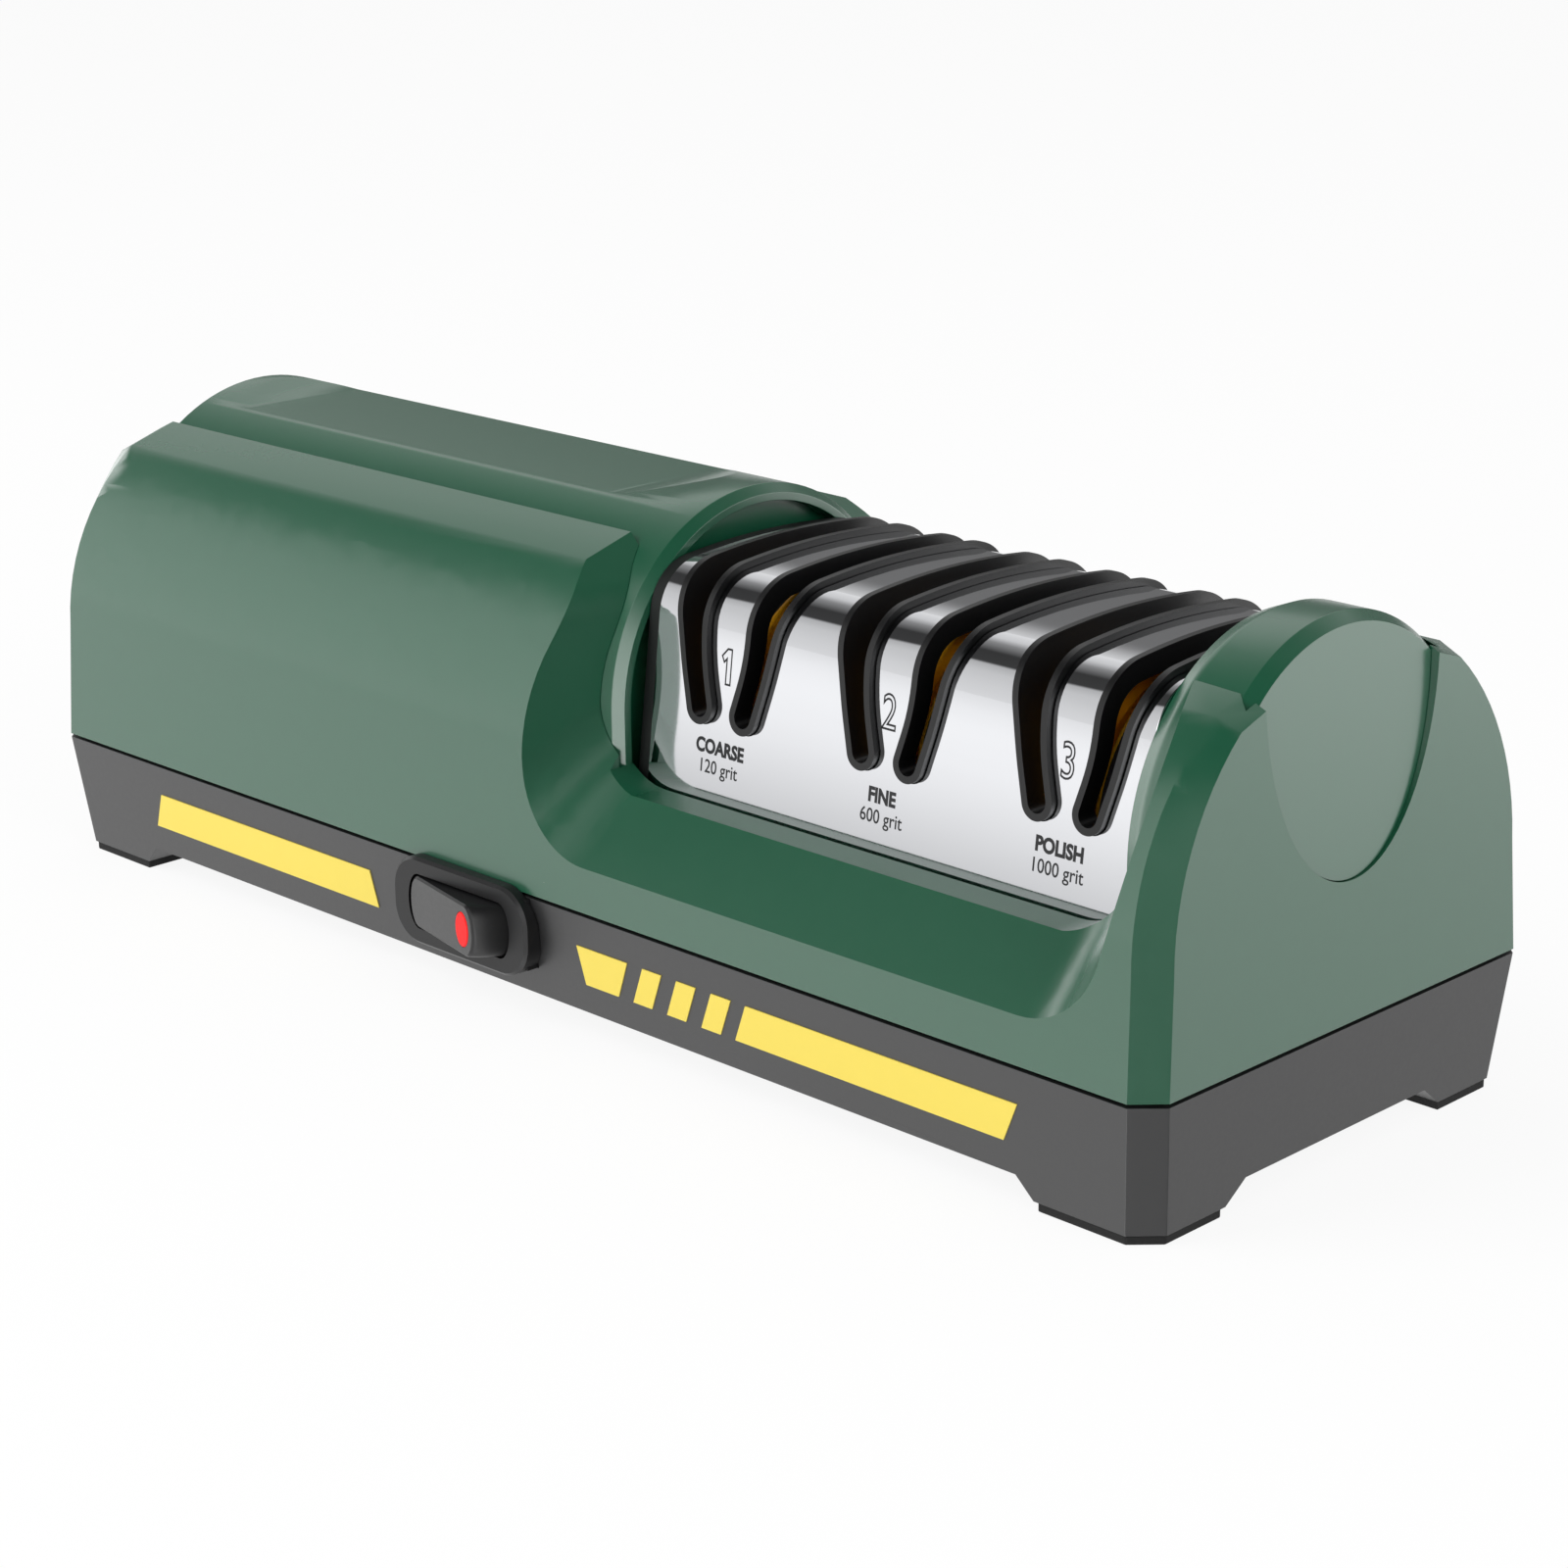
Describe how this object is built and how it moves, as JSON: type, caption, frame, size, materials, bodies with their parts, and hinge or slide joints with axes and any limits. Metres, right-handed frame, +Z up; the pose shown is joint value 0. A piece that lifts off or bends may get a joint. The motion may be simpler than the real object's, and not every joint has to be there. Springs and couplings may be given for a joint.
{
  "type": "electric knife sharpener",
  "caption": "Electric knife sharpener: green moulded housing on a dark tray, arch-shaped motor cover, stainless cover with knife slots over spring-loaded grinding discs.",
  "frame": {"origin": "midway between the four pads, on the surface that they stand on: the centre of the body, without the switch in front", "axes": "+X along the body towards the grinding stages, -Y to the front with the switch, +Z up"},
  "size_m": [0.25, 0.0944, 0.0797],
  "materials": {
    "green": "moulded, dark green, glossy",
    "guide_black": "moulded, black, satin",
    "base_grey": "moulded, dark grey, fine texture",
    "stainless": "bent stainless sheet, polished",
    "rubber_pad": "black rubber",
    "switch_black": "moulded, black, semi-gloss",
    "led_red": "red lens",
    "label_yellow": "printed yellow label",
    "carrier_amber": "moulded, amber",
    "grit": "bonded abrasive, dark grey",
    "steel": "turned steel",
    "bronze": "sintered bronze",
    "nylon": "moulded nylon, off-white",
    "magnet": "sintered ferrite",
    "copper": "copper",
    "board": "fibreglass board",
    "blue_part": "component cases"
  },
  "bodies": {
    "housing": {"base_tray": "base_grey", "housing_shell": "green", "motor_cover": "green", "end_cover": "green", "stainless_cover": "stainless", "stage1_guide": "guide_black", "stage2_guide": "guide_black", "stage3_guide": "guide_black", "switch_bezel": "switch_black", "switch_body": "switch_black", "switch_tabs": "copper", "label_strip_left": "label_yellow", "label_wedge": "label_yellow", "label_bars": "label_yellow", "label_strip_right": "label_yellow", "pad_front_left": "rubber_pad", "pad_front_right": "rubber_pad", "pad_rear_left": "rubber_pad", "pad_rear_right": "rubber_pad", "case_screws": "steel", "motor_can": "steel", "motor_magnets": "magnet", "motor_rear_cap": "nylon", "motor_cradle": "nylon", "left_bearing": "bronze", "right_bearing": "bronze", "left_bracket": "nylon", "right_bracket": "nylon", "bracket_screws": "steel", "power_inlet": "switch_black", "inlet_pins": "copper", "circuit_board": "board", "board_parts": "blue_part"},
    "rocker": {"rocker": "switch_black", "led_lens": "led_red"},
    "spindle": {"spindle": "steel", "retaining_rings": "steel", "coupling": "nylon", "rotor": "steel", "commutator": "copper", "fan": "nylon", "stage1_spring": "steel", "stage2_spring": "steel", "stage3_spring": "steel"},
    "stage1_left_wheel": {"stage1_left_disc": "carrier_amber", "stage1_left_grit": "grit"},
    "stage1_right_wheel": {"stage1_right_disc": "carrier_amber", "stage1_right_grit": "grit"},
    "stage2_left_wheel": {"stage2_left_disc": "carrier_amber", "stage2_left_grit": "grit"},
    "stage2_right_wheel": {"stage2_right_disc": "carrier_amber", "stage2_right_grit": "grit"},
    "stage3_left_wheel": {"stage3_left_disc": "carrier_amber", "stage3_left_grit": "grit"},
    "stage3_right_wheel": {"stage3_right_disc": "carrier_amber", "stage3_right_grit": "grit"}
  },
  "joints": [
    {"name": "rocker_hinge", "type": "hinge", "parent": "housing", "child": "rocker", "pos_m": [-0.0126, -0.0405, 0.0152], "axis": [0, 0, 1], "range_deg": [0, 24]},
    {"name": "spindle_spin", "type": "hinge", "parent": "housing", "child": "spindle", "pos_m": [0, 0, 0.047], "axis": [1, 0, 0], "continuous": true},
    {"name": "stage1_left_slide", "type": "slide", "parent": "spindle", "child": "stage1_left_wheel", "axis": [1, 0, 0], "range_m": [0, 0.0009], "stiffness_N_per_m": 400, "deforming": ["stage1_spring"]},
    {"name": "stage1_right_slide", "type": "slide", "parent": "spindle", "child": "stage1_right_wheel", "axis": [-1, 0, 0], "range_m": [0, 0.0009], "stiffness_N_per_m": 400, "deforming": ["stage1_spring"]},
    {"name": "stage2_left_slide", "type": "slide", "parent": "spindle", "child": "stage2_left_wheel", "axis": [1, 0, 0], "range_m": [0, 0.0009], "stiffness_N_per_m": 400, "deforming": ["stage2_spring"]},
    {"name": "stage2_right_slide", "type": "slide", "parent": "spindle", "child": "stage2_right_wheel", "axis": [-1, 0, 0], "range_m": [0, 0.0009], "stiffness_N_per_m": 400, "deforming": ["stage2_spring"]},
    {"name": "stage3_left_slide", "type": "slide", "parent": "spindle", "child": "stage3_left_wheel", "axis": [1, 0, 0], "range_m": [0, 0.0009], "stiffness_N_per_m": 400, "deforming": ["stage3_spring"]},
    {"name": "stage3_right_slide", "type": "slide", "parent": "spindle", "child": "stage3_right_wheel", "axis": [-1, 0, 0], "range_m": [0, 0.0009], "stiffness_N_per_m": 400, "deforming": ["stage3_spring"]}
  ]
}
